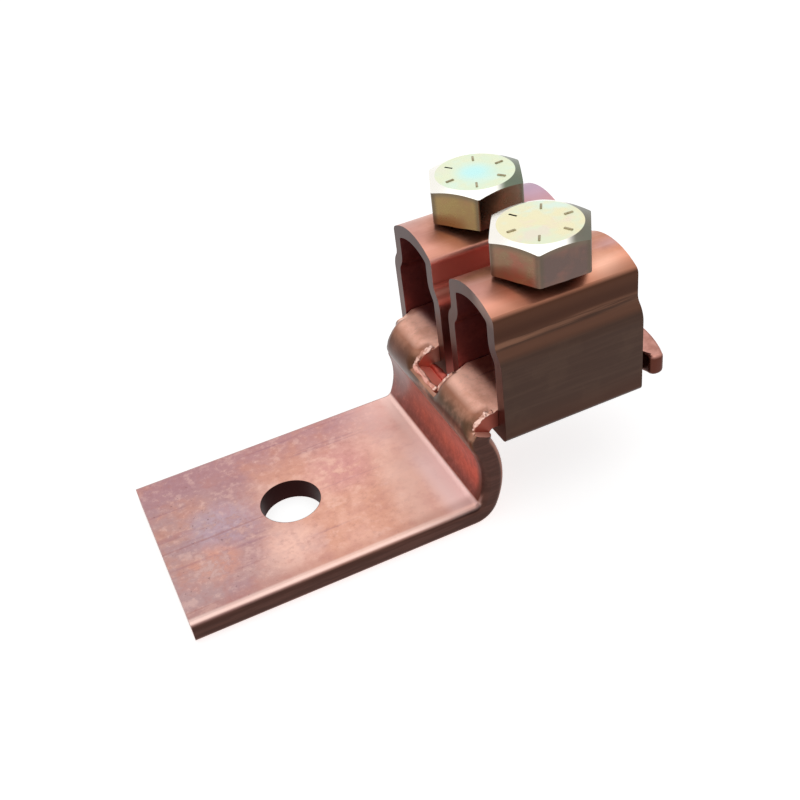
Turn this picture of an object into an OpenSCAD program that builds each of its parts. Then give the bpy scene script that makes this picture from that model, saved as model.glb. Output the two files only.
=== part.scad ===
// Offset mechanical lug for two conductors.
// A copper strap is bent up in an offset and split into two prongs. Each prong carries
// a formed copper collar, and a hex bolt through the collar's crown clamps the wire.
// The origin is the centre of the stud hole on the underside of the tongue.
// X runs from the tongue to the wire entry, and Z is up.

/* [Tongue] */
// Thickness of the copper strap
strap_t = 3.6; // [3:0.1:4.5]
// Radius of the strap's rolled long edges
edge_r = 1.2; // [0.6:0.1:1.4]
// Diameter of the stud hole
stud_hole_d = 9.8; // [6.5:0.1:13]
// From the stud hole to the free end of the tongue
hole_to_end = 21.8; // [14:0.1:30]
// From the stud hole to the start of the lower bend
hole_to_bend = 24.5; // [16:0.1:36]

/* [Offset] */
// Height of the prongs above the tongue, underside to underside
rise = 17; // [14:0.1:22]
// Inside radius of the lower bend
lower_bend_r = 1; // [0.6:0.1:3]
// Inside radius of the upper bend
upper_bend_r = 1; // [0.6:0.1:2]
// Lean of the riser at its two ends, which bows it away from the tongue
bow_angle = 25; // [15:1:35]

/* [Prongs] */
// Width of a prong where the collar sits on it
prong_w = 12.4; // [11:0.1:14]
// Shelf left at each long edge of the strap where a prong begins
shelf_w = 1.4; // [0.5:0.1:2]
// How far the shelf is turned into the upper bend
shelf_angle = 25; // [10:1:45]
// Spread of a prong's end past each side of the prong
ear_spread = 2.5; // [1:0.1:3]
// Length of the spread end at its two sides
ear_len = 2.6; // [2:0.1:4]
// Bulge of the struck end past the length at its sides
ear_bulge = 1.5; // [0.5:0.1:3]
// Corner radius of the spread end
ear_r = 1.1; // [0.5:0.1:1.3]

/* [Collars] */
// Length of a collar along the prong
collar_len = 24; // [18:0.1:32]
// Height of a collar, from its underside to the top of its crown
collar_h = 23.3; // [20:0.1:30]
// Wall of the collar
collar_wall = 2.1; // [1.6:0.1:2.8]
// Rise of the arched crown above its two corners
crown_rise = 2.1; // [1:0.1:3]
// Radius of the collar's outer corners
corner_r = 1.2; // [0.6:0.1:1.8]
// Radius inside the two corners of the crown
crown_inner_r = 0.6; // [0.3:0.1:1]
// From the top of the crown down to the joggle that widens the collar
joggle_drop = 6.3; // [5:0.1:9]
// Inside radius of the joggle's two bends
joggle_r = 1.8; // [1:0.1:3]
// Space between the two collars
collar_spacing = 3; // [1:0.1:6]

/* [Clamp bolts] */
// Diameter of the bolt
bolt_d = 9.4; // [7.8:0.1:10.2]
// Length of the bolt under its head
bolt_len = 12.7; // [10:0.1:16]
// Chamfer at the bolt's tip
tip_chamfer = 1; // [0.5:0.1:1.5]
// Hex head across its flats
head_af = 14.3; // [12:0.1:17]
// Height of the head with its washer face
head_h = 6.5; // [5:0.1:8]
// Height of the washer face under the head
washer_face_h = 0.3; // [0.2:0.1:0.8]
// Width taken off the head's flats by the chamfered top and the washer face
head_relief = 0.7; // [0.4:0.1:1.2]
// Angle of the head's chamfer
head_chamfer = 30; // [20:1:35]
// Turn of the left bolt's head
left_turn = 6; // [-30:1:30]
// Turn of the right bolt's head
right_turn = -2; // [-30:1:30]
// Space left between the washer face and the crown
bolt_lift = 0.3; // [0.3:0.1:3]

/* [Fits] */
// Running clearance of the bolt in the crown, on the radius
thread_gap = 0.05; // [0.02:0.01:0.2]
// Clearance between the bolt and the collar's side walls
bolt_side_gap = 0.1; // [0.05:0.01:0.4]
// Clearance between a prong and the collar's side walls
prong_side_gap = 0.15; // [0.05:0.01:0.4]
// Clearance between a prong and the collar's floor
prong_seat_gap = 0.05; // [0.02:0.01:0.2]
// Space between the upper bend and the collar
front_gap = 0.7; // [0.3:0.1:2]
// Space between the collar and the spread end of the prong
rear_gap = 1.5; // [0.3:0.1:3]

/* [Hidden] */
$fn = 96;
copper = "#c08468";
copper_dark = "#9c6048";
yellow_zinc = "#d2c9a0";
// How far a cut runs past the surface that it opens
past = 1;
// Largest turn between two points of an arc in an outline
arc_step = 5;

// Widths of the collar's two parts, outside
upper_w = bolt_d + 2 * (bolt_side_gap + collar_wall);
lower_w = prong_w + 2 * (prong_side_gap + collar_wall);
// Across the corners of the hex head
head_ac = head_af / cos(30);
// Spacing of the two prongs to a hundredth, and the strap that takes them both
pitch = round(100 * (max(lower_w, head_ac) + collar_spacing)) / 100;
slot_w = pitch - prong_w;
strap_w = pitch + prong_w + 2 * shelf_w;

// The strap's face runs through three arcs: lower bend, bowed riser, upper bend.
// Each arc's centre lies on the strap's normal where the arc before it ends.
function normal(turn) = [-sin(turn), cos(turn)];
lower_turn = 90 - bow_angle;
upper_turn = 90 + bow_angle;
nose_r = upper_bend_r + strap_t;
riser_r = (rise - lower_bend_r * (1 - sin(bow_angle)) - nose_r * (1 + sin(bow_angle)))
    / (2 * sin(bow_angle));
lower_c = [hole_to_bend, strap_t + lower_bend_r];
riser_c = lower_c + (riser_r - lower_bend_r) * normal(lower_turn);
upper_c = riser_c - (riser_r + nose_r) * normal(upper_turn);

// Places along the prong
collar_x = upper_c.x + front_gap;
bolt_x = collar_x + collar_len / 2;
ear_x = collar_x + collar_len + rear_gap;

// Heights
collar_z = rise - prong_seat_gap - collar_wall;
bolt_z = collar_z + collar_h + bolt_lift;

// Radius of the arched crown, and of the circle that bounds the washer face and the head's flat top
crown_r = (pow(upper_w / 2, 2) + pow(crown_rise, 2)) / (2 * crown_rise);
head_flat_r = (head_af - head_relief) / 2;

// Section of the strap, its thickness along x and its width along y
module strap_section() {
    translate([0, edge_r - strap_w / 2]) square([strap_t, strap_w - 2 * edge_r]);
    translate([edge_r, -strap_w / 2]) square([strap_t - 2 * edge_r, strap_w]);
    for (x = [edge_r, strap_t - edge_r], side = [-1, 1])
        translate([x, side * (strap_w / 2 - edge_r)]) circle(edge_r);
}

// Moves by the nearest thousandth and then by the rest, so that the stretches meet without a step
module placed(at) {
    near = [for (v = at) round(1000 * v) / 1000];
    translate(near) translate(at - near) children();
}

// Straight stretch of the strap in the side view, from a start point on its underside
module straight(start, length) {
    placed([start.x, start.y, 0]) rotate([90, 0, 90]) linear_extrude(length) strap_section();
}

// Bent stretch of the strap in the side view
module bend(centre, inner_r, from, turn) {
    placed([centre.x, centre.y, 0]) rotate([0, 0, from]) rotate_extrude(angle = turn)
        placed([inner_r, 0]) strap_section();
}

// Cut in the side view that parts the prongs, from a line across the upper bend to the strap's end.
// It takes the strap from one place on its width to another.
module prong_cut(from, to) {
    reach = 2 * nose_r;
    top = upper_c + reach * [-cos(shelf_angle), sin(shelf_angle)];
    far = ear_x + ear_len + past;
    translate([0, 0, from]) linear_extrude(to - from)
        polygon([upper_c, top, [top.x, upper_c.y + reach], [far, upper_c.y + reach], [far, upper_c.y]]);
}

// Points along an arc, at most arc_step degrees apart
function arc(centre, r, from, to) = let (steps = ceil(abs(to - from) / arc_step))
    [for (i = [0:steps]) let (a = from + (to - from) * i / steps) centre + r * [cos(a), sin(a)]];

// Spread end of a prong, in plan, its end struck to a shallow arc between two round corners
module ear_outline() {
    side_y = prong_w / 2 + ear_spread - ear_r;
    corner_c = [ear_len - ear_r, side_y];
    end_r = (pow(ear_bulge + ear_r, 2) + pow(side_y, 2) - pow(ear_r, 2)) / (2 * ear_bulge);
    end_c = [ear_len + ear_bulge - end_r, 0];
    lean = atan2(corner_c.y, corner_c.x - end_c.x);

    half = concat(
        arc(end_c, end_r, 0, lean),
        arc(corner_c, ear_r, lean, 90),
        arc([ear_r, side_y], ear_r, 90, 180)
    );
    mirrored = [for (i = [len(half) - 1:-1:1]) [half[i].x, -half[i].y]];
    polygon(concat(half, mirrored));
}

// Bent strap with its stud hole and two prongs
module terminal_strap() {
    color(copper) {
        difference() {
            rotate([90, 0, 0]) difference() {
                union() {
                    straight([-hole_to_end, 0], hole_to_end + hole_to_bend);
                    bend(lower_c, lower_bend_r, -90, lower_turn);
                    bend(riser_c, riser_r, 0, -bow_angle);
                    bend(riser_c, riser_r, 0, bow_angle);
                    bend(upper_c, upper_bend_r, 90, upper_turn);
                    straight([upper_c.x, rise], ear_x + ear_len / 2 - upper_c.x);
                }
                prong_cut(-slot_w / 2, slot_w / 2);
                for (side = [-1, 1])
                    translate([0, 0, side * (pitch + prong_w + shelf_w + past) / 2])
                        prong_cut(-(shelf_w + past) / 2, (shelf_w + past) / 2);
            }
            translate([0, 0, -past]) cylinder(d = stud_hole_d, h = strap_t + 2 * past);
        }
        for (side = [-1, 1])
            translate([ear_x, side * pitch / 2, rise]) linear_extrude(strap_t) ear_outline();
    }
}

// Outline of the collar's section, drawn inside its outer face by inset.
// An arched crown stands on a narrow upper box, and a joggle widens it to the lower box.
module collar_outline(inset, top_r, floor_r) {
    upper = upper_w / 2 - inset;
    lower = lower_w / 2 - inset;
    floor_c = [lower - floor_r, inset + floor_r];
    // Joggle of two arcs that meet on the line between their centres
    foot_r = joggle_r + collar_wall - inset;
    neck_r = joggle_r + inset;
    turn = acos(1 - (lower - upper) / (foot_r + neck_r));
    neck_c = [upper + neck_r, collar_h - joggle_drop];
    foot_c = [lower - foot_r, neck_c.y - (foot_r + neck_r) * sin(turn)];
    // Arched crown, with a round corner that touches both the arch and the side
    arch_r = crown_r - inset;
    arch_c = [0, collar_h - crown_r];
    top_c = [upper - top_r, arch_c.y + sqrt(pow(arch_r - top_r, 2) - pow(upper - top_r, 2))];
    arch_from = atan2(top_c.y - arch_c.y, top_c.x);

    half = concat(
        floor_r > 0 ? arc(floor_c, floor_r, -90, 0) : [floor_c],
        arc(foot_c, foot_r, 0, turn),
        arc(neck_c, neck_r, 180 + turn, 180),
        arc(top_c, top_r, 0, arch_from),
        arc(arch_c, arch_r, arch_from, 90)
    );
    mirrored = [for (i = [len(half) - 2:-1:0]) [-half[i].x, half[i].y]];
    polygon(concat(half, mirrored));
}

// Collar formed from one thick strip, with the bolt's hole in its crown
module collar() {
    difference() {
        translate([collar_x, 0, collar_z]) rotate([90, 0, 90]) linear_extrude(collar_len)
            difference() {
                collar_outline(0, corner_r, corner_r);
                collar_outline(collar_wall, crown_inner_r, 0);
            }
        translate([bolt_x, 0, collar_z + collar_h / 2])
            cylinder(r = bolt_d / 2 + thread_gap, h = collar_h);
    }
}

module left_collar() {
    color(copper_dark) translate([0, pitch / 2, 0]) collar();
}

module right_collar() {
    color(copper_dark) translate([0, -pitch / 2, 0]) collar();
}

// Hex bolt with its washer face on the plane z = 0 of its own
module clamp_bolt(turn) {
    shank_r = bolt_d / 2;
    rim_r = head_ac / 2 + past;
    rim_drop = (rim_r - head_flat_r) * tan(head_chamfer);
    intersection() {
        translate([0, 0, washer_face_h]) rotate([0, 0, turn])
            cylinder(d = head_ac, h = head_h - washer_face_h, $fn = 6);
        rotate_extrude() polygon([
            [0, 0], [rim_r, 0], [rim_r, head_h - rim_drop], [head_flat_r, head_h], [0, head_h]
        ]);
    }
    rotate_extrude() polygon([
        [0, washer_face_h], [head_flat_r, washer_face_h], [head_flat_r, 0], [shank_r, 0],
        [shank_r, tip_chamfer - bolt_len], [shank_r - tip_chamfer, -bolt_len], [0, -bolt_len]
    ]);
}

module left_clamp_bolt() {
    color(yellow_zinc) translate([bolt_x, pitch / 2, bolt_z]) clamp_bolt(left_turn);
}

module right_clamp_bolt() {
    color(yellow_zinc) translate([bolt_x, -pitch / 2, bolt_z]) clamp_bolt(right_turn);
}

terminal_strap();
left_collar();
right_collar();
left_clamp_bolt();
right_clamp_bolt();
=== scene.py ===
from math import cos, radians, sin, tan

import bmesh
import bpy
from mathutils import Matrix, Vector


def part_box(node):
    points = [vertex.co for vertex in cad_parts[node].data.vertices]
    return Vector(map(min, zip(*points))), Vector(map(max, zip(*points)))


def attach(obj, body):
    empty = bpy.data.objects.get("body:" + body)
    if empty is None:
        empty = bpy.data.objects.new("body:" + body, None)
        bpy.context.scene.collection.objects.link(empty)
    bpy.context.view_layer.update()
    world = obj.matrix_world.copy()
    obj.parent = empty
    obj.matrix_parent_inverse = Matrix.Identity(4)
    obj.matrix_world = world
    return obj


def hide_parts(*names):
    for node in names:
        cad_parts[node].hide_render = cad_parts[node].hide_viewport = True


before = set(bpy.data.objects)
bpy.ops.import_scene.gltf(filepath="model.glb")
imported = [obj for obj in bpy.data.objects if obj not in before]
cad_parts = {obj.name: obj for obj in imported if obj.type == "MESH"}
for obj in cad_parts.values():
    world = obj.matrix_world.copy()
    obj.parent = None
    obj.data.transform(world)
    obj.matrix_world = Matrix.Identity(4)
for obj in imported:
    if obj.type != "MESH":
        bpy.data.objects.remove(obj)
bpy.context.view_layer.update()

# Camera
# The view is from above the near side of the tongue, rolled a little about the line of sight.
# A 36 mm sensor and a 48.7 mm lens take in the square picture.
MM = 0.001

bpy.ops.object.select_all(action="DESELECT")
bpy.ops.object.camera_add(
    location=(-25.23 * MM, -129.72 * MM, 120.43 * MM),
    rotation=(radians(52.338), radians(6.615), radians(-24.717)),
)
camera = bpy.context.object
camera.name = "picture_camera"
camera.data.lens = 48.73
camera.data.sensor_width = 36
camera.data.clip_start = 10 * MM
bpy.context.scene.camera = camera
bpy.context.scene.view_settings.view_transform = "Standard"

# Studio
# The lug stands on its tongue on a pale sheet of card. A broad lamp hangs above it and another
# stands behind it, and the surround is white where it is seen or mirrored.
SURROUND_LIGHT = 0.3
SURROUND_SEEN = 1.0
CARD_GLOW = 0.76
LUG_MIDDLE = Vector((20 * MM, 0, 20 * MM))


def put(tree, kind, sockets=(), **settings):
    """Adds a node with its settings, and with a value or a link for each socket named."""
    made = tree.nodes.new(kind)
    for name, value in settings.items():
        setattr(made, name, value)
    for socket, value in dict(sockets).items():
        if isinstance(value, bpy.types.NodeSocket):
            tree.links.new(value, made.inputs[socket])
        else:
            made.inputs[socket].default_value = value
    return made


def maths(operation, *values):
    """One sum on one or two values, of which at least one comes from a node."""
    tree = next(v.id_data for v in values if isinstance(v, bpy.types.NodeSocket))
    return put(tree, "ShaderNodeMath", enumerate(values), operation=operation).outputs[0]


def ramp(value, low, high, at_low, at_high):
    """Straight run from one level to another as a value goes from low to high."""
    return put(value.id_data, "ShaderNodeMapRange", {
        "Value": value, "From Min": low, "From Max": high,
        "To Min": at_low, "To Max": at_high}).outputs[0]


def seen_or_mirrored(tree, unseen, seen):
    """A level for rays from the camera, a mirror or a clear surface, and another for the rest."""
    path = put(tree, "ShaderNodeLightPath").outputs
    direct = maths("MAXIMUM", path["Is Camera Ray"], path["Is Glossy Ray"])
    either = maths("MAXIMUM", direct, path["Is Transmission Ray"])
    return ramp(either, 0, 1, unseen, seen)


world = bpy.data.worlds.new("white_surround")
bpy.context.scene.world = world
world.use_nodes = True
world.node_tree.nodes.clear()
surround = put(world.node_tree, "ShaderNodeBackground", {
    "Color": (1, 1, 1, 1),
    "Strength": seen_or_mirrored(world.node_tree, SURROUND_LIGHT, SURROUND_SEEN)})
put(world.node_tree, "ShaderNodeOutputWorld", {"Surface": surround.outputs[0]})

bpy.ops.mesh.primitive_plane_add(size=6, location=(0, 0, -0.1 * MM))
floor = bpy.context.object
floor.name = "floor"
card = bpy.data.materials.new("pale_card")
card.use_nodes = True
card.node_tree.nodes.clear()
matt = put(card.node_tree, "ShaderNodeBsdfDiffuse", {"Color": (0.8, 0.8, 0.8, 1)})
glow = put(card.node_tree, "ShaderNodeEmission", {
    "Color": (1, 1, 1, 1), "Strength": seen_or_mirrored(card.node_tree, 0.0, CARD_GLOW)})
lit_card = put(card.node_tree, "ShaderNodeAddShader", {0: matt.outputs[0], 1: glow.outputs[0]})
put(card.node_tree, "ShaderNodeOutputMaterial", {"Surface": lit_card.outputs[0]})
floor.data.materials.append(card)

for name, place, size, watts in (
    ("top_lamp", (0.06, -0.02, 1.3), 1.5, 3.2),
    ("back_lamp", (0.24, 0.36, 0.30), 0.30, 0.05),
):
    turn = (LUG_MIDDLE - Vector(place)).to_track_quat("-Z", "Y").to_euler()
    bpy.ops.object.light_add(type="AREA", location=place, rotation=turn)
    lamp = bpy.context.object
    lamp.name = name
    lamp.data.size = size
    lamp.data.energy = watts

# Terminal strap
# A bar of thick copper with rolled edges, drilled for a stud, bent up in an offset and sheared
# into two prongs whose ends are struck and spread. Its faces are pink; its sides are painted brown
# as shade.
STRAP_T = 3.6 * MM
STUD_HOLE_R = 4.9 * MM
LOWER_BEND_X = 24.5 * MM
NOSE_R = STRAP_T + 1 * MM
PRONG_W = 12.4 * MM
EAR_LEN = 4.1 * MM
EAR_ROUND = 0.7 * MM

# Splits in the hump's faces, from each side of a prong, which let its sheared rims roll over to
# a share of the bend's radius, and how far the far corner is squashed
HUMP_CUTS = (0.5 * MM, 1.1 * MM, 1.8 * MM, 2.6 * MM, 3.5 * MM)
ROLLED_OVER, ROLL_REACH = 0.8, 1.6 * MM
FAR_ROLLED_OVER, FAR_ROLL_REACH = 0.66, 3.4 * MM
SQUASH, SQUASH_REACH = 1 * MM, 2.5 * MM

# How near counts as touching, and how far a flat facet's middle may lie inside its curve
TOUCHING = 0.01 * MM
CHORD_SLACK = 0.1 * MM

strap_low, strap_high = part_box("terminal_strap")
collar_low, collar_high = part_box("left_collar")
PRONG_TOP = strap_high.z
PRONG_Y = (collar_low.y + collar_high.y) / 2
BEND_AXIS = Vector((collar_low.x - 0.7 * MM, 0, PRONG_TOP - NOSE_R))
HUMP_END_X = BEND_AXIS.x + 1.9 * MM
EAR_X = strap_high.x - EAR_LEN

# Where each side of a prong lies across the strap, and which way its metal lies from there
PRONG_SIDES = (
    (-PRONG_Y - PRONG_W / 2, 1),
    (-PRONG_Y + PRONG_W / 2, -1),
    (PRONG_Y - PRONG_W / 2, 1),
    (PRONG_Y + PRONG_W / 2, -1),
)
FAR_SIDE = PRONG_SIDES[3][0]


def only(piece):
    """Makes a piece the one that is selected and active."""
    bpy.ops.object.select_all(action="DESELECT")
    piece.select_set(True)
    bpy.context.view_layer.objects.active = piece


def merged_copy(node_name, piece_name):
    """Copy of a CAD node as one closed mesh with its flat faces joined."""
    piece = bpy.data.objects.new(piece_name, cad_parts[node_name].data.copy())
    bpy.context.collection.objects.link(piece)
    piece.data.materials.clear()
    only(piece)
    bpy.ops.mesh.customdata_custom_splitnormals_clear()
    bpy.ops.object.mode_set(mode="EDIT")
    bpy.ops.mesh.select_all(action="SELECT")
    bpy.ops.mesh.remove_doubles(threshold=1e-6)
    bpy.ops.mesh.dissolve_limited(angle_limit=radians(0.2))
    bpy.ops.object.mode_set(mode="OBJECT")
    return piece


def pick(piece, kind, wanted):
    """Opens a piece in edit mode with only the wanted edges or faces selected."""
    only(piece)
    bpy.ops.object.mode_set(mode="EDIT")
    bpy.ops.mesh.select_mode(type=kind)
    bpy.ops.mesh.select_all(action="DESELECT")
    shape = bmesh.from_edit_mesh(piece.data)
    for part in (shape.edges if kind == "EDGE" else shape.faces):
        if wanted(part):
            part.select_set(True)
    bmesh.update_edit_mesh(piece.data)


def finish_with(piece, kind, **settings):
    """Adds a modifier to a piece and applies it."""
    only(piece)
    modifier = piece.modifiers.new(kind.lower(), kind)
    for name, value in settings.items():
        setattr(modifier, name, value)
    bpy.ops.object.modifier_apply(modifier=modifier.name)


def break_edges(piece, width):
    """Takes the sharpness off the hard edges and shades the curved faces smooth."""
    finish_with(piece, "BEVEL", width=width, segments=2,
                limit_method="ANGLE", angle_limit=radians(35))
    bpy.ops.object.shade_smooth_by_angle(angle=radians(40))
    finish_with(piece, "WEIGHTED_NORMAL", keep_sharp=True, weight=100)


def drawn_along(reach):
    """Settings with which a move draws the metal within reach along with it."""
    return {"use_proportional_edit": True, "use_proportional_connected": True,
            "proportional_edit_falloff": "SMOOTH", "proportional_size": reach}


def off_nose(point):
    """How far a point lies outside the upper bend's outer face, seen from the side."""
    return Vector((point.x - BEND_AXIS.x, point.z - BEND_AXIS.z)).length - NOSE_R


def off_side(point):
    """How far a point lies across the strap from the nearest side of a prong."""
    return min(abs(point.y - side) for side, _ in PRONG_SIDES)


def on_prong_top(face):
    """True for a face on the flat top of the prongs."""
    return face.normal.z > 0.9 and face.calc_center_median().z > PRONG_TOP - CHORD_SLACK


def on_hump(face):
    """True for a face on the outside of the upper bend or just behind it."""
    middle = face.calc_center_median()
    behind = middle.z > PRONG_TOP - CHORD_SLACK and middle.x < HUMP_END_X
    return behind or (abs(off_nose(middle)) < CHORD_SLACK and middle.x < BEND_AXIS.x)


def on_sheared_rim(edge):
    """True for an edge along the outside of the upper bend where a prong was sheared free."""
    ends = [corner.co for corner in edge.verts]
    along = abs(ends[0].y - ends[1].y) < TOUCHING
    return along and all(
        p.x < BEND_AXIS.x + TOUCHING and abs(off_nose(p)) < 2 * TOUCHING and off_side(p) < TOUCHING
        for p in ends)


def on_far_rim(edge):
    """True for a sheared edge on the far side of the far prong."""
    return on_sheared_rim(edge) and edge.verts[0].co.y > PRONG_Y


def on_far_corner(edge):
    """True for an edge on the strap's far outer corner at the upper bend."""
    return all(
        p.y > FAR_SIDE + 5 * TOUCHING and off_nose(p) > -1.6 * MM
        and p.x < BEND_AXIS.x and p.z > BEND_AXIS.z - 1.5 * MM
        for p in (corner.co for corner in edge.verts))


def on_ear_rim(edge):
    """True for an edge round the top or the underside of a prong's spread end."""
    first, last = (corner.co for corner in edge.verts)
    level = abs(first.z - last.z) < TOUCHING and min(first.x, last.x) > EAR_X - 5 * TOUCHING
    return level and edge.calc_face_angle(0) > radians(60)


strap = merged_copy("terminal_strap", "strap")
pick(strap, "FACE", on_prong_top)
bpy.ops.mesh.bisect(plane_co=(HUMP_END_X, 0, 0), plane_no=(1, 0, 0))
bpy.ops.object.mode_set(mode="OBJECT")
for side, inward in PRONG_SIDES:
    for depth in HUMP_CUTS:
        pick(strap, "FACE", on_hump)
        bpy.ops.mesh.bisect(plane_co=(0, side + inward * depth, 0), plane_no=(0, 1, 0))
        bpy.ops.object.mode_set(mode="OBJECT")
for rim, share, reach in (
    (on_far_rim, FAR_ROLLED_OVER, FAR_ROLL_REACH),
    (on_sheared_rim, ROLLED_OVER, ROLL_REACH),
):
    pick(strap, "EDGE", rim)
    bpy.ops.transform.resize(value=(share, 1, share), center_override=BEND_AXIS,
                             **drawn_along(reach))
    bpy.ops.object.mode_set(mode="OBJECT")
pick(strap, "EDGE", on_far_corner)
bpy.ops.transform.translate(value=(SQUASH, 0, -SQUASH), **drawn_along(SQUASH_REACH))
bpy.ops.object.mode_set(mode="OBJECT")
pick(strap, "EDGE", on_ear_rim)
bpy.ops.mesh.bevel(offset=EAR_ROUND, segments=4, affect="EDGES")
bpy.ops.object.mode_set(mode="OBJECT")
break_edges(strap, 0.1 * MM)


def tint(red, green, blue):
    """Colour from its screen values, 0 to 255."""
    return tuple(((c / 255 + 0.055) / 1.055) ** 2.4 for c in (red, green, blue)) + (1,)


def clouds(where, size, detail=4.0, rough=0.6, stretch=(1, 1, 1), shift=(0, 0, 0)):
    """Cloudy value about 0.5, in patches of a size in metres that stretch draws out."""
    moved = put(where.id_data, "ShaderNodeMapping", {
        "Vector": where, "Location": shift, "Scale": [1 / s for s in stretch]}).outputs[0]
    return put(where.id_data, "ShaderNodeTexNoise", {
        "Vector": moved, "Scale": 1 / size, "Detail": detail, "Roughness": rough}).outputs["Fac"]


def rise(value, low, high):
    """Smooth step from 0 at low to 1 at high."""
    sockets = {"Value": value, "From Min": low, "From Max": high}
    return put(value.id_data, "ShaderNodeMapRange", sockets,
               interpolation_type="SMOOTHSTEP").outputs[0]


def fall(value, low, high):
    """Smooth step from 1 at low to 0 at high."""
    return maths("SUBTRACT", 1.0, rise(value, low, high))


def product(*values):
    """All the values multiplied together."""
    result, *others = values
    for value in others:
        result = maths("MULTIPLY", result, value)
    return result


def total(*values):
    """All the values added up."""
    result, *others = values
    for value in others:
        result = maths("ADD", result, value)
    return result


def over(under, top, *shares):
    """Colour with another laid over it by a share, or by several that are multiplied together."""
    share = product(*shares)
    return put(share.id_data, "ShaderNodeMix", {0: share, 6: under, 7: top},
               data_type="RGBA").outputs[2]


def flat(x, y):
    """Place in plan, from its two parts."""
    return put(x.id_data, "ShaderNodeCombineXYZ", {0: x, 1: y}).outputs[0]


def spot(where, middle, core, reach):
    """Round patch, 1 within its core and 0 past its reach."""
    away = put(where.id_data, "ShaderNodeVectorMath", {0: where, 1: middle}, operation="DISTANCE")
    return fall(away.outputs["Value"], core, reach)


def start_finish(name):
    """New material, with the place on a piece, the parts of the place and parts of the facing."""
    material = bpy.data.materials.new(name)
    material.use_nodes = True
    tree = material.node_tree
    tree.nodes.clear()
    source = put(tree, "ShaderNodeTexCoord").outputs
    place = put(tree, "ShaderNodeSeparateXYZ", {0: source["Object"]}).outputs
    facing = put(tree, "ShaderNodeSeparateXYZ", {0: source["Normal"]}).outputs
    return material, source["Object"], place, facing


def end_finish(colour, roughness, relief, depth):
    """Metal shader with a colour, a roughness and a fine relief."""
    tree = colour.id_data
    bump = put(tree, "ShaderNodeBump", {"Height": relief, "Strength": 1.0, "Distance": depth})
    shader = put(tree, "ShaderNodeBsdfPrincipled", {
        "Base Color": colour, "Metallic": 1.0, "Roughness": roughness, "Normal": bump.outputs[0]})
    put(tree, "ShaderNodeOutputMaterial", {"Surface": shader.outputs[0]})


copper, where, place, facing = start_finish("strap_copper")
sideways = maths("ABSOLUTE", facing["Y"])
across = maths("ABSOLUTE", place["Y"])

# Pink copper, greyer at the free end and on the far side, with clouds and drag marks
free_end = fall(place["X"], -17 * MM, 5 * MM)
colour = over(tint(226, 173, 154), tint(182, 149, 148), free_end)
far_half = rise(place["Y"], 3 * MM, 15 * MM)
colour = over(colour, tint(176, 130, 136), far_half, 0.8)
mottle = clouds(where, 9 * MM, detail=7, rough=0.62)
colour = over(colour, tint(206, 144, 120), rise(mottle, 0.48, 0.66), 0.5)
haze = clouds(where, 15 * MM, detail=5, rough=0.58, shift=(0.031, 0.052, 0))
colour = over(colour, tint(160, 118, 130), rise(haze, 0.5, 0.66), 0.45)
drag = clouds(where, 1.5 * MM, detail=2, stretch=(22, 1, 1), shift=(0.006, 0.0012, 0))
colour = over(colour, tint(150, 104, 118), rise(drag, 0.6, 0.72), 0.45)

# A grey stain, a warm patch, a rubbed bright one and a dusky one on the tongue
speckle = clouds(where, 2.4 * MM, detail=5, shift=(0.4, 0.1, 0))
for x, y, core, reach, sparse, dense, share, patch_colour in (
    (-11.5 * MM, 0.5 * MM, 2 * MM, 8 * MM, 0.35, 0.6, 0.75, tint(188, 166, 180)),
    (-14.5 * MM, -7 * MM, 1 * MM, 6 * MM, 0.3, 0.6, 0.75, tint(224, 160, 136)),
    (-3.5 * MM, -9.4 * MM, 1 * MM, 7 * MM, 0.25, 0.55, 0.7, tint(250, 204, 186)),
    (10.3 * MM, 3 * MM, 1 * MM, 9 * MM, 0.25, 0.55, 0.7, tint(204, 142, 142)),
):
    patch = spot(where, (x, y, STRAP_T), core, reach)
    colour = over(colour, patch_colour, patch, rise(speckle, sparse, dense), share)

# Speckles, grime and scratches
colour = over(colour, tint(192, 132, 122), rise(speckle, 0.5, 0.68), 0.3)
colour = over(colour, tint(244, 204, 190), fall(speckle, 0.34, 0.46), 0.25)
grime = clouds(where, 1.1 * MM, detail=7, rough=0.75, shift=(0.7, 0.2, 0))
colour = over(colour, tint(166, 112, 106), rise(grime, 0.5, 0.68), 0.32)
colour = over(colour, tint(246, 206, 190), fall(grime, 0.34, 0.48), 0.22)
scratches = clouds(where, 1.1 * MM, detail=1, stretch=(40, 1, 1), shift=(0.02, 0.4, 0))
colour = over(colour, tint(150, 92, 92), rise(scratches, 0.69, 0.74), 0.3)

# The tongue has painted highlights towards the lower bend and along its crease, is darker along
# its near edge and is pitted at its end
tongue_level = fall(place["Z"], STRAP_T + 0.2 * MM, STRAP_T + 1 * MM)
tongue_top = product(rise(facing["Z"], 0.3, 0.6), tongue_level)
painted_bend_light = product(rise(place["X"], 12 * MM, 23 * MM), tongue_top)
near_half = fall(place["Y"], -6 * MM, 8 * MM)
colour = over(colour, tint(250, 206, 194), painted_bend_light, 0.7)
colour = over(colour, tint(255, 218, 202), painted_bend_light, near_half, 0.6)
colour = over(colour, tint(222, 160, 150), painted_bend_light, rise(speckle, 0.48, 0.66), 0.35)
# Painted highlight along the crease of the lower bend, and a broader painted one before it on the
# near half
crease_highlight = product(rise(place["X"], LOWER_BEND_X - 2.2 * MM, LOWER_BEND_X - 0.3 * MM), tongue_top)
colour = over(colour, tint(255, 228, 220), crease_highlight, 0.7)
near_bend_highlight = product(rise(place["X"], LOWER_BEND_X - 5 * MM, LOWER_BEND_X - 2 * MM),
                    near_half, tongue_top)
colour = over(colour, tint(255, 234, 232), near_bend_highlight, 0.75)
near_edge = product(fall(place["Y"], -15.4 * MM, -13.4 * MM), tongue_top)
colour = over(colour, tint(180, 122, 108), near_edge, 0.35)
pits = clouds(where, 0.9 * MM, detail=3, shift=(0.2, 0.3, 0))
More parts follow.
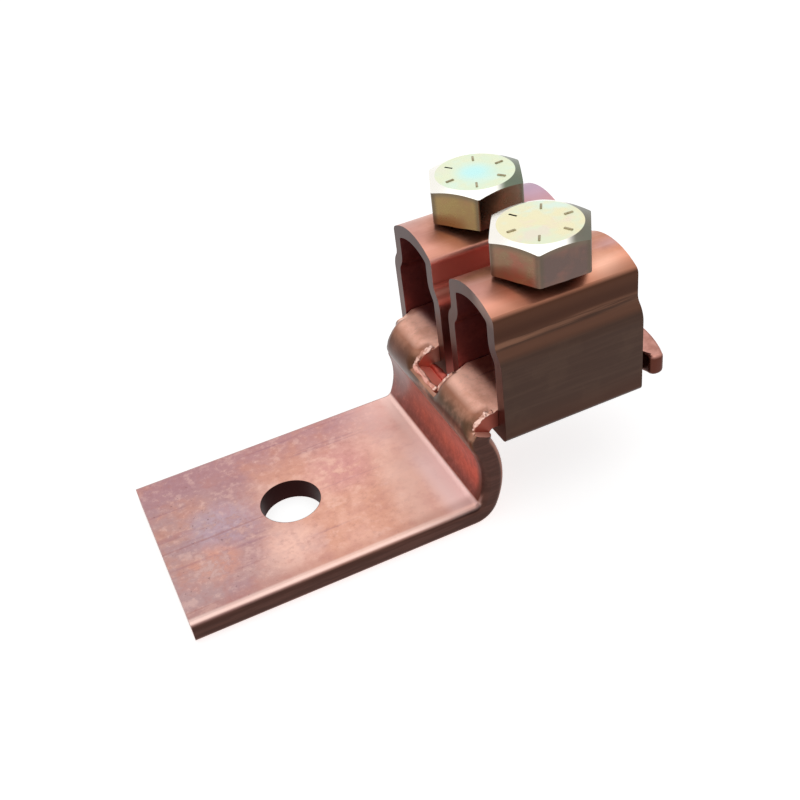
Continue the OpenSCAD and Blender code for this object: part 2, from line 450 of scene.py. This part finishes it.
colour = over(colour, tint(118, 86, 88), rise(pits, 0.64, 0.72), free_end, 0.6)

# The riser is painted redder as the reflection of the tongue it faces, darker low down, with dark
# ends
riser_colour = over(tint(180, 90, 68), tint(166, 86, 70), rise(mottle, 0.4, 0.6))
riser_colour = over(riser_colour, tint(194, 96, 76), fall(place["Y"], -14 * MM, 0))
riser_colour = over(riser_colour, tint(108, 72, 68), rise(place["Y"], 4 * MM, 14 * MM), 0.9)
riser_colour = over(riser_colour, tint(138, 82, 76), fall(place["Z"], 4.5 * MM, 8 * MM))
riser_colour = over(riser_colour, tint(122, 62, 50), rise(grime, 0.48, 0.62), 0.4)
riser_colour = over(riser_colour, tint(214, 130, 108), fall(grime, 0.36, 0.48), 0.25)
# Darker patches low down on the riser
low_dark_patches = product(fall(place["Z"], 4.6 * MM, 6.4 * MM), rise(speckle, 0.3, 0.6))
riser_colour = over(riser_colour, tint(96, 56, 46), low_dark_patches, 0.5)
riser_colour = over(riser_colour, tint(100, 58, 46), fall(place["Y"], -16.3 * MM, -14.8 * MM))
riser = product(fall(facing["X"], -0.6, -0.25), rise(place["Z"], 3.8 * MM, 4.4 * MM))
colour = over(colour, riser_colour, riser)

# The hump of the upper bend is painted as lit from above: brown shade in front, bright on top
hump = product(rise(place["Z"], BEND_AXIS.z - 3 * MM, BEND_AXIS.z - 1 * MM),
               fall(place["X"], BEND_AXIS.x + 1 * MM, BEND_AXIS.x + 3 * MM))
hump_light_and_shade = over(tint(88, 64, 48), tint(168, 114, 92), rise(facing["Z"], 0.4, 0.92))
# Painted light on the top of the hump
lit_hump_top = rise(facing["Z"], 0.76, 0.97)
hump_light_and_shade = over(hump_light_and_shade, tint(255, 212, 194), lit_hump_top)
hump_light_and_shade = over(hump_light_and_shade, tint(214, 156, 130), rise(mottle, 0.45, 0.65), 0.5)
hump_light_and_shade = over(hump_light_and_shade, tint(120, 80, 64), rise(grime, 0.5, 0.66), lit_hump_top, 0.12)
# Painted shade, deepest on the front of the far hump
far_front_shade = product(rise(place["Y"], 2 * MM, 8 * MM), fall(facing["Z"], 0.4, 0.9))
hump_light_and_shade = over(hump_light_and_shade, tint(84, 42, 28), far_front_shade, 0.75)
hump_light_and_shade = over(hump_light_and_shade, tint(255, 222, 208), fall(grime, 0.36, 0.48), lit_hump_top, 0.3)
colour = over(colour, hump_light_and_shade, hump)

# Rolled edges get a painted highlight and a painted glint along the tongue; the sides are painted
# dark brown as shade, streaked
low_down = fall(place["Z"], BEND_AXIS.z - 4 * MM, BEND_AXIS.z - 2 * MM)
# Painted highlight along the rolled edges
rolled_edge_highlight = product(rise(sideways, 0.12, 0.4), fall(sideways, 0.5, 0.85),
               rise(facing["Z"], 0.1, 0.5), low_down)
colour = over(colour, tint(180, 144, 136), rolled_edge_highlight, 0.75)
glint = product(fall(place["Y"], -16.3 * MM, -15.7 * MM), rise(facing["Z"], 0.75, 0.95),
                tongue_level)
colour = over(colour, tint(255, 226, 214), glint, 0.5)
# Painted shade on the sides, with brown streaks
riser_roll = product(rise(sideways, 0.08, 0.3), rise(place["Z"], 4.8 * MM, 6 * MM),
                     fall(facing["Z"], 0.3, 0.6), low_down)
shaded_side = maths("MAXIMUM", rise(sideways, 0.45, 0.85), riser_roll)
streaks = clouds(where, 0.8 * MM, detail=3, stretch=(12, 1, 1))
side_shade_colour = over(tint(74, 50, 44), tint(86, 58, 51), rise(streaks, 0.4, 0.65))
colour = over(colour, side_shade_colour, shaded_side)

# Fresh copper shows on the faces cut by the shears and on the shelf where they stopped
at_upper_bend = fall(place["X"], BEND_AXIS.x + 1.5 * MM, BEND_AXIS.x + 3.5 * MM)
cut = product(rise(place["Z"], BEND_AXIS.z - 0.5 * MM, BEND_AXIS.z + 0.5 * MM),
              fall(across, FAR_SIDE + 0.05 * MM, FAR_SIDE + 0.25 * MM), at_upper_bend, shaded_side)
cut_colour = over(tint(212, 150, 132), tint(146, 78, 66), rise(across, 4.2 * MM, 6 * MM))
colour = over(colour, cut_colour, cut)
shelf = product(rise(place["Z"], BEND_AXIS.z, BEND_AXIS.z + 0.4 * MM),
                rise(facing["X"], 0.2, 0.35), rise(facing["Z"], 0.6, 0.8))
shelf_colour = over(tint(255, 164, 146), tint(232, 178, 160), rise(across, 4 * MM, 16 * MM))
shelf_colour = over(shelf_colour, tint(150, 102, 86), rise(place["Y"], 14 * MM, 16 * MM))
colour = over(colour, shelf_colour, shelf)

# Dull underside and outside of the lower bend, painted shade in the hole, scored end face, and
# struck ears whose sides are painted dark as shade
outer_bend = product(rise(facing["X"], 0.3, 0.6),
                     fall(place["Z"], BEND_AXIS.z, BEND_AXIS.z + 0.4 * MM))
outside = maths("MAXIMUM", fall(facing["Z"], -0.6, -0.2), outer_bend)
colour = over(colour, tint(164, 114, 98), outside, 0.7)
in_plan = flat(place["X"], place["Y"])
# Painted shade on the wall of the stud hole
hole_shade = product(spot(in_plan, (0, 0, 0), STUD_HOLE_R + 0.03 * MM, STUD_HOLE_R + 0.1 * MM),
                  fall(place["Z"], 4 * MM, 5 * MM))
colour = over(colour, tint(56, 28, 27), hole_shade)
end_face = product(fall(facing["X"], -0.9, -0.6),
                   fall(place["X"], strap_low.x + 0.2 * MM, strap_low.x + 0.8 * MM))
scored = clouds(where, 0.5 * MM, detail=3, stretch=(1, 1, 8))
end_colour = over(tint(142, 96, 84), tint(168, 118, 104), rise(scored, 0.4, 0.6))
colour = over(colour, end_colour, end_face)
ear = rise(place["X"], EAR_X - 0.6 * MM, EAR_X + 0.6 * MM)
ear_colour = over(tint(186, 132, 120), tint(160, 108, 96), rise(speckle, 0.4, 0.6))
ear_colour = over(ear_colour, tint(94, 52, 42), fall(facing["Z"], 0.2, 0.8))
colour = over(colour, ear_colour, ear, 0.9)

# Torn copper is the dullest, and drawing left a fine grain along the bar
torn_top = product(rise(place["Z"], PRONG_TOP - 1.6 * MM, PRONG_TOP - 0.3 * MM), at_upper_bend)
roughness = total(
    product(mottle, 0.2), product(shaded_side, 0.12), product(torn_top, 0.42), product(shelf, 0.35),
    product(hole_shade, 0.2), product(painted_bend_light, 0.25), product(crease_highlight, 0.15),
    product(near_bend_highlight, 0.15), 0.24)
grain = clouds(where, 0.35 * MM, detail=3, stretch=(5, 1, 1))
end_finish(colour, roughness, total(grain, drag), 0.01 * MM)
strap.data.materials.append(copper)
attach(strap, "lug")
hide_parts("terminal_strap")

# Torn lips
# Shearing the prongs free leaves a ragged lip of bright copper along the cuts at the upper bend
# and along both edges of the slot's floor. The lips are part of the strap's metal.
LIP_R = 0.46 * MM
LIP_SWEEP = radians(66)
LIP_STEPS = 12
BACK_LIP_R = 0.8 * MM
SHELF_ANGLE = radians(25)
SLOT_W = 2 * PRONG_SIDES[2][0]
SLOT_LIP_LEN = SLOT_W + 0.8 * MM
SLOT_LIP_STEPS = 10
lips = []


def settle():
    """The piece just added, with its place and turn taken into its mesh."""
    piece = bpy.context.object
    only(piece)
    bpy.ops.object.transform_apply()
    return piece


def start_lip(middle, rotation, radius):
    """Round section of a lip, open for editing with all of it selected."""
    bpy.ops.mesh.primitive_circle_add(vertices=8, radius=radius, fill_type="NGON",
                                      location=middle, rotation=rotation)
    lips.append(settle())
    bpy.ops.object.mode_set(mode="EDIT")
    bpy.ops.mesh.select_all(action="SELECT")


def end_lip():
    """Gives the lip that is open its ragged shape and rounds it."""
    bpy.ops.mesh.select_all(action="SELECT")
    bpy.ops.transform.vertex_random(offset=LIP_R, seed=len(lips))
    bpy.ops.mesh.normals_make_consistent(inside=False)
    bpy.ops.object.mode_set(mode="OBJECT")
    finish_with(lips[-1], "SUBSURF", levels=2, render_levels=2)
    bpy.ops.object.shade_smooth()


outward = Vector((-cos(SHELF_ANGLE), 0, sin(SHELF_ANGLE)))
for side, inward in PRONG_SIDES[:3]:
    axis = BEND_AXIS + Vector((0, side + inward * LIP_R, 0))
    start_lip(axis + ROLLED_OVER * NOSE_R * outward, (0, SHELF_ANGLE, 0), LIP_R)
    bpy.ops.mesh.spin(steps=LIP_STEPS, angle=-LIP_SWEEP, center=axis, axis=(0, 1, 0))
    end_lip()
slot_start = BEND_AXIS - Vector((0, SLOT_LIP_LEN / 2, 0))
for middle, radius in (
    (slot_start + (NOSE_R - LIP_R) * outward, LIP_R),
    (slot_start + Vector((-0.62 * MM, 0, 0.35 * MM)), BACK_LIP_R),
):
    start_lip(middle, (radians(90), 0, 0), radius)
    for _ in range(SLOT_LIP_STEPS):
        bpy.ops.mesh.extrude_region_move(
            TRANSFORM_OT_translate={"value": (0, SLOT_LIP_LEN / SLOT_LIP_STEPS, 0)})
    end_lip()

only(lips[0])
for lip in lips:
    lip.select_set(True)
bpy.ops.object.join()
torn = bpy.context.object
torn.name = "torn_lips"

fresh, where, place, facing = start_finish("torn_copper")
patchy = clouds(where, 1.2 * MM, detail=4)
colour = over(tint(196, 144, 126), tint(250, 212, 198), rise(patchy, 0.42, 0.56))
colour = over(colour, tint(168, 100, 82), fall(facing["Z"], -0.2, 0.5))
in_slot = fall(maths("ABSOLUTE", place["Y"]), SLOT_W / 2 - 0.3 * MM, SLOT_W / 2)
colour = over(colour, tint(220, 136, 116), in_slot, 0.5)
slot_back = rise(place["X"], BEND_AXIS.x - 2.2 * MM, BEND_AXIS.x - 1.6 * MM)
colour = over(colour, tint(196, 98, 86), slot_back, in_slot)
end_finish(colour, total(product(patchy, 0.3), 0.35), patchy, 0.02 * MM)
torn.data.materials.append(fresh)
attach(torn, "lug")

# Collars
# Each collar is a thick copper strip folded into a closed box round a prong, with an arched crown
# and a joggle that widens its lower half. The crown is bright copper; the sides are painted brown
# as shade.
JOGGLE_TOP = collar_high.z - 6.3 * MM
COLLAR_MIDDLE_X = (collar_low.x + collar_high.x) / 2

collar_outside, where, place, facing = start_finish("collar_copper")
off_middle = maths("ABSOLUTE", place["Y"])
bands = clouds(where, 0.9 * MM, detail=3, stretch=(22, 1, 1))
mottle = clouds(where, 6 * MM, detail=6)

# Banded sides painted brown as shade, with more painted shade over the joggle,
# and red in the gap between the collars, painted darker low down as shade
side_colour = over(tint(69, 52, 45), tint(75, 57, 49), rise(bands, 0.4, 0.66))
side_colour = over(side_colour, tint(90, 70, 58), rise(mottle, 0.5, 0.64), 0.2)
upper = rise(place["Z"], JOGGLE_TOP - 1.2 * MM, JOGGLE_TOP + 1.2 * MM)
side_colour = over(side_colour, tint(84, 52, 38), upper, 0.7)
low_edge = fall(place["Z"], 15 * MM, 21 * MM)
side_colour = over(side_colour, tint(74, 48, 38), low_edge, 0.6)
shade = product(rise(place["Z"], JOGGLE_TOP + 0.3 * MM, JOGGLE_TOP + 1.3 * MM),
                fall(place["Z"], JOGGLE_TOP + 1.6 * MM, JOGGLE_TOP + 3.4 * MM))
side_colour = over(side_colour, tint(56, 36, 30), shade, 0.45)
# Painted shade deep in the gap between the collars, lighter towards its top
gap_shading = over(tint(132, 72, 64), tint(240, 172, 160), rise(place["Z"], 22 * MM, 32 * MM))
side_colour = over(side_colour, gap_shading, fall(off_middle, 4.5 * MM, 6 * MM))

# The ridge of the joggle gets a painted highlight, in a line that the bands break up
ridge_highlight = product(rise(facing["Z"], 0.3, 0.6),
                fall(place["Z"], JOGGLE_TOP + 1 * MM, JOGGLE_TOP + 2 * MM))
side_colour = over(side_colour, tint(104, 70, 55), ridge_highlight, 0.6)
ridge_highlight_line = product(rise(place["Z"], JOGGLE_TOP - 1.2 * MM, JOGGLE_TOP - 0.3 * MM),
                     fall(place["Z"], JOGGLE_TOP + 0.1 * MM, JOGGLE_TOP + 0.9 * MM))
side_colour = over(side_colour, tint(138, 98, 78), ridge_highlight_line, rise(bands, 0.36, 0.62), 0.6)

# Crown of bright copper, with painted highlights on its near slope and behind the right head,
# brown at its foot, a painted gleam at the right's back end, a mauve patch at the left's back, and
# the head's painted shadow round the bolt
crown_colour = over(tint(206, 142, 116), tint(190, 126, 98), rise(mottle, 0.42, 0.62))
crown_colour = over(crown_colour, tint(222, 180, 164), rise(bands, 0.5, 0.66), 0.2)
front = fall(place["X"], collar_low.x, collar_low.x + 7 * MM)
crown_colour = over(crown_colour, tint(196, 150, 148), front, 0.5)
on_right = fall(place["Y"], -12 * MM, -8 * MM)
near_slope_highlight = fall(facing["Y"], -0.5, -0.1)
slope_share = total(product(on_right, 0.3), 0.3)
crown_colour = over(crown_colour, tint(240, 166, 136), near_slope_highlight, slope_share)
highlight_behind_head = spot(where, (50.2 * MM, -14.9 * MM, 37.4 * MM), 0.5 * MM, 4.5 * MM)
crown_colour = over(crown_colour, tint(246, 200, 178), highlight_behind_head, 0.45)
# Painted gleam at the back end of the right crown
right_end_gleam = product(rise(place["X"], 49 * MM, 53 * MM), rise(facing["Y"], -0.22, -0.02),
                      on_right)
crown_colour = over(crown_colour, tint(186, 156, 168), right_end_gleam, 0.6)
back_turn = product(rise(place["X"], 46 * MM, 54 * MM), 0.06)
foot = fall(maths("SUBTRACT", facing["Y"], back_turn), -0.56, -0.36)
foot_share = total(product(on_right, 0.4), 0.35)
crown_colour = over(crown_colour, tint(124, 80, 60), foot, foot_share)
left_bloom = product(rise(place["X"], 45 * MM, 52 * MM), rise(place["Y"], 0, 12 * MM))
crown_colour = over(crown_colour, tint(184, 156, 182), left_bloom, 0.85)
# Painted shadow of the bolt head on the crown round the bolt
head_shadow = spot(flat(place["X"], off_middle), (COLLAR_MIDDLE_X, PRONG_Y, 0), 5.4 * MM, 7.2 * MM)
head_shadow_share = total(product(on_right, 0.4), 0.2)
crown_colour = over(crown_colour, tint(66, 36, 27), head_shadow, head_shadow_share)
crown = product(rise(facing["Z"], 0.38, 0.88),
                rise(place["Z"], JOGGLE_TOP + 0.2 * MM, JOGGLE_TOP + 2 * MM))
colour = over(side_colour, crown_colour, crown)

# Dark cut rims at both ends, with a painted highlight on the near arch of the right collar
# and painted shade on the far arch of the left one
rim_colour = over(tint(66, 38, 30), tint(78, 46, 36), rise(mottle, 0.4, 0.6))
near_arch_highlight = product(fall(place["Y"], -13.5 * MM, -10 * MM),
                    rise(place["Z"], JOGGLE_TOP + 2 * MM, JOGGLE_TOP + 6 * MM))
rim_colour = over(rim_colour, tint(132, 102, 90), near_arch_highlight)
far_arch_shade = product(rise(place["Y"], 4 * MM, 8 * MM),
                   rise(place["Z"], JOGGLE_TOP, JOGGLE_TOP + 4 * MM))
rim_colour = over(rim_colour, tint(62, 34, 32), far_arch_shade, 0.8)
rim_colour = over(rim_colour, tint(94, 66, 60), fall(place["Z"], 22 * MM, 30 * MM))
colour = over(colour, rim_colour, rise(maths("ABSOLUTE", facing["X"]), 0.5, 0.9))
end_finish(colour, total(product(mottle, 0.2), 0.26), bands, 0.0025 * MM)

collar_inside, where, place, facing = start_finish("collar_inside_copper")
mottle = clouds(where, 3 * MM, detail=4)
colour = over(tint(154, 86, 82), tint(132, 70, 68), rise(mottle, 0.4, 0.6))
end_finish(colour, total(product(mottle, 0.3), 0.3), mottle, 0.01 * MM)

for side in ("left", "right"):
    collar = merged_copy(side + "_collar", side + "_box_collar")
    break_edges(collar, 0.15 * MM)
    collar.data.materials.append(collar_outside)
    collar.data.materials.append(collar_inside)
    low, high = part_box(side + "_collar")
    middle = (low + high) / 2
    for face in collar.data.polygons:
        inward = middle - face.center
        inward.x = 0
        if face.normal.dot(inward) > 0.2 * inward.length and abs(face.normal.x) < 0.5:
            face.material_index = 1
    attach(collar, "lug")
    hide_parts(side + "_collar")

# Clamp bolts
# Hex bolts of zinc-plated steel with a yellow chromate colour, a chamfered head with six raised
# strength dashes, a washer face and a rolled coarse thread. They screw into the crowns.
HEAD_FLATS = 14.3 * MM
HEAD_CORNERS_R = HEAD_FLATS / cos(radians(30)) / 2
HEAD_H = 6.5 * MM
CORNER_ROUND = 0.3 * MM
FLAT_R = 6.3 * MM
CHAMFER_ANGLE = radians(23)
WASHER_R = HEAD_FLATS / 2 - 0.35 * MM
WASHER_H = 0.3 * MM
DASH_LEN = 1.4 * MM
DASH_W = 0.36 * MM
DASH_H = 0.15 * MM
DASH_R = 4.6 * MM
DASH_EDGE = 0.08 * MM
FLAT_Z = HEAD_H - DASH_H
SHANK_R = 4.7 * MM
SHANK_LEN = 12.7 * MM
SHANK_IN_HEAD = 0.2 * MM
TIP_CHAMFER = 1.05 * MM
THREAD_PITCH = 25.4 * MM / 16
THREAD_DEPTH = 0.85 * MM
THREAD_TURNS = 11
ROUND_SIDES = 96


def cut_or_join(piece, operation, tool):
    """Cuts, joins or meets a piece with another solid, which is used up."""
    finish_with(piece, "BOOLEAN", operation=operation, object=tool, solver="EXACT")
    bpy.data.objects.remove(tool)


hex_h = FLAT_Z - WASHER_H
bpy.ops.mesh.primitive_cylinder_add(
    vertices=6, radius=HEAD_CORNERS_R, depth=hex_h,
    location=(0, 0, WASHER_H + hex_h / 2), rotation=(0, 0, radians(30)))
bolt = settle()
pick(bolt, "EDGE", lambda edge: abs(edge.verts[0].co.z - edge.verts[1].co.z) > hex_h / 2)
bpy.ops.mesh.bevel(offset=CORNER_ROUND, segments=3, affect="EDGES")
bpy.ops.object.mode_set(mode="OBJECT")

# The head's top is turned to a cone, which leaves a round flat
cone_r = HEAD_CORNERS_R + 1 * MM
cone_h = (cone_r - FLAT_R) * tan(CHAMFER_ANGLE)
bpy.ops.mesh.primitive_cone_add(
    vertices=ROUND_SIDES, radius1=cone_r, radius2=FLAT_R, depth=cone_h,
    location=(0, 0, FLAT_Z - cone_h / 2))
turned = settle()
pick(turned, "FACE", lambda face: face.normal.z < -0.9)
bpy.ops.mesh.extrude_region_move(TRANSFORM_OT_translate={"value": (0, 0, cone_h - FLAT_Z)})
bpy.ops.object.mode_set(mode="OBJECT")
cut_or_join(bolt, "INTERSECT", turned)

bpy.ops.mesh.primitive_cylinder_add(
    vertices=ROUND_SIDES, radius=WASHER_R, depth=2 * WASHER_H, location=(0, 0, WASHER_H))
cut_or_join(bolt, "UNION", settle())

# The thread's section, which is the root, a flank, the crest and a flank as shares of the pitch,
# is screwed up from below the tip and then cut off at the tip and in the head
bpy.ops.mesh.primitive_plane_add(size=1 * MM)
shank = settle()
bpy.ops.object.mode_set(mode="EDIT")
bpy.ops.mesh.select_mode(type="VERT")
bpy.ops.mesh.select_all(action="SELECT")
bpy.ops.mesh.merge(type="CENTER")
bpy.ops.transform.translate(value=(SHANK_R - THREAD_DEPTH, 0, -SHANK_LEN - 1.3 * THREAD_PITCH))
for deeper, along in ((0, 0.06), (THREAD_DEPTH, 0.4), (0, 0.14), (-THREAD_DEPTH, 0.4)):
    bpy.ops.mesh.extrude_vertices_move(
        TRANSFORM_OT_translate={"value": (deeper, 0, along * THREAD_PITCH)})
bpy.ops.object.mode_set(mode="OBJECT")
finish_with(shank, "SCREW", axis="Z", angle=radians(360), screw_offset=THREAD_PITCH,
            iterations=THREAD_TURNS, steps=ROUND_SIDES // 2, render_steps=ROUND_SIDES // 2,
            use_merge_vertices=False)
bpy.ops.object.mode_set(mode="EDIT")
bpy.ops.mesh.select_all(action="SELECT")
bpy.ops.mesh.remove_doubles(threshold=0.002 * MM)
bpy.ops.mesh.bisect(plane_co=(0, 0, SHANK_IN_HEAD), plane_no=(0, 0, 1),
                    use_fill=True, clear_outer=True)
bpy.ops.mesh.select_all(action="SELECT")
bpy.ops.mesh.bisect(plane_co=(0, 0, -SHANK_LEN), plane_no=(0, 0, 1),
                    use_fill=True, clear_inner=True)
bpy.ops.mesh.select_all(action="SELECT")
bpy.ops.mesh.normals_make_consistent(inside=False)
bpy.ops.object.mode_set(mode="OBJECT")

# A chamfered blank takes the sharp start off the thread
bpy.ops.mesh.primitive_cylinder_add(
    vertices=ROUND_SIDES, radius=SHANK_R + 0.05 * MM, depth=SHANK_LEN + 1 * MM,
    location=(0, 0, (1 * MM - SHANK_LEN) / 2))
blank = settle()
pick(blank, "EDGE", lambda edge: all(v.co.z < 0.1 * MM - SHANK_LEN for v in edge.verts))
bpy.ops.mesh.bevel(offset=TIP_CHAMFER, segments=1, affect="EDGES")
bpy.ops.object.mode_set(mode="OBJECT")
cut_or_join(shank, "INTERSECT", blank)
cut_or_join(bolt, "UNION", shank)

for k in range(6):
    turn = radians(60 * k)
    bpy.ops.mesh.primitive_cube_add(
        size=1, location=(DASH_R * cos(turn), DASH_R * sin(turn), FLAT_Z),
        rotation=(0, 0, turn), scale=(DASH_LEN, DASH_W, 2 * DASH_H))
    dash = settle()
    pick(dash, "EDGE", lambda edge: all(v.co.z > FLAT_Z for v in edge.verts))
    bpy.ops.mesh.bevel(offset=DASH_EDGE, segments=1, affect="EDGES")
    bpy.ops.object.mode_set(mode="OBJECT")
    cut_or_join(bolt, "UNION", dash)
only(bolt)
bpy.ops.object.shade_smooth_by_angle(angle=radians(20))

low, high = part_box("left_clamp_bolt")
bolt_middle = (low + high) / 2
HEX_Z = high.z - HEAD_H + WASHER_H

zinc, where, place, facing = start_finish("yellow_zinc")
on_left = rise(place["Y"], -2 * MM, 2 * MM)
on_right = maths("SUBTRACT", 1.0, on_left)
axis_y = ramp(place["Y"], -2 * MM, 2 * MM, -bolt_middle.y, bolt_middle.y)
off_x = maths("SUBTRACT", place["X"], bolt_middle.x)
off_y = maths("SUBTRACT", place["Y"], axis_y)
off_axis = flat(off_x, off_y)
from_axis = put(off_axis.id_data, "ShaderNodeVectorMath", {0: off_axis},
                operation="LENGTH").outputs["Value"]

# Yellow and green film on the flat top, bluest in the middle of the left head
flow = clouds(where, 6 * MM, detail=3)
film = clouds(where, 7 * MM, detail=3, shift=(0.2, 0.5, 0.1))
colour = over(tint(228, 221, 184), tint(218, 224, 196), rise(flow, 0.45, 0.6))
colour = over(colour, tint(206, 232, 228), rise(film, 0.52, 0.66), 0.6)
colour = over(colour, tint(230, 208, 198), fall(film, 0.34, 0.46), 0.5)
colour = over(colour, tint(210, 232, 208), on_left, 0.45)
heart = product(spot(off_axis, (0, 0, 0), 0.5 * MM, 4.5 * MM), on_left)
colour = over(colour, tint(182, 234, 236), heart, 0.85)

# Chamfer painted bright as a highlight, and painted dark as shade on its side towards +X and the
# near side
on_flat = spot(off_axis, (0, 0, 0), FLAT_R - 0.05 * MM, FLAT_R + 0.05 * MM)
at_chamfer = maths("SUBTRACT", 1.0, on_flat)
shaded_chamfer = over(tint(92, 88, 80), tint(84, 94, 78), on_left)
toward_shaded_chamfer = maths("SUBTRACT", product(off_x, 0.87), product(off_y, 0.5))
chamfer_light_and_shade = over(tint(250, 246, 240), shaded_chamfer, rise(toward_shaded_chamfer, 3 * MM, 5 * MM))
colour = over(colour, chamfer_light_and_shade, at_chamfer, 0.9)

# Duller flanks with brown and green blotches, painted lighter as lit where they face -X and darker
# as shade elsewhere, and darker under the cone and at the corners
blotch = clouds(where, 2.4 * MM, detail=2, shift=(0.1, 0.3, 0.6))
lit_flank = over(tint(148, 116, 95), tint(156, 134, 90), on_left)
lit_flank = over(lit_flank, tint(166, 100, 88), rise(blotch, 0.48, 0.64), on_right, 0.4)
lit_flank = over(lit_flank, tint(138, 134, 102), fall(blotch, 0.34, 0.48), on_right, 0.3)
shaded_flank = over(tint(106, 89, 84), tint(114, 112, 98), on_left)
flank_colour = over(lit_flank, shaded_flank, rise(facing["X"], -0.7, -0.1))
flank_colour = over(flank_colour, tint(150, 108, 90), rise(flow, 0.45, 0.6), 0.25)
flank_colour = over(flank_colour, tint(164, 104, 94), rise(blotch, 0.5, 0.72), 0.15)
cone_drop = product(maths("SUBTRACT", from_axis, FLAT_R), tan(CHAMFER_ANGLE))
under_cone = maths("SUBTRACT", high.z - DASH_H, total(cone_drop, place["Z"]))
flank_colour = over(flank_colour, tint(112, 104, 90), fall(under_cone, 0.1 * MM, 1.1 * MM), 0.7)
by_corner = rise(from_axis, HEAD_CORNERS_R - 0.5 * MM, HEAD_CORNERS_R - 0.15 * MM)
flank_colour = over(flank_colour, tint(98, 88, 76), by_corner, 0.7)
top_side = product(rise(facing["Z"], 0.2, 0.6), rise(place["Z"], HEX_Z, HEX_Z + 0.4 * MM))
colour = over(flank_colour, colour, top_side)
fine = clouds(where, 0.4 * MM, detail=3)
end_finish(colour, total(product(flow, 0.15), 0.2), fine, 0.008 * MM)
bolt.data.materials.clear()
bolt.data.materials.append(zinc)

rubbed_zinc, where, place, facing = start_finish("worn_zinc")
rubbed = clouds(where, 0.7 * MM, detail=3)
colour = over(tint(142, 130, 102), tint(172, 160, 130), rise(rubbed, 0.4, 0.6))
end_finish(colour, total(product(rubbed, 0.2), 0.25), rubbed, 0.01 * MM)
bolt.data.materials.append(rubbed_zinc)
for face in bolt.data.polygons:
    if face.center.z > FLAT_Z + 0.1 * DASH_H:
        face.material_index = 1

for side, turn in (("left", 6), ("right", -2)):
    low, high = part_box(side + "_clamp_bolt")
    seat = Vector(((low.x + high.x) / 2, (low.y + high.y) / 2, high.z - HEAD_H))
    placed = bpy.data.objects.new(side + "_hex_bolt", bolt.data.copy())
    placed.data.transform(Matrix.Translation(seat) @ Matrix.Rotation(radians(turn), 4, "Z"))
    bpy.context.collection.objects.link(placed)
    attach(placed, side + "_bolt")
    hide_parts(side + "_clamp_bolt")
bpy.data.objects.remove(bolt)
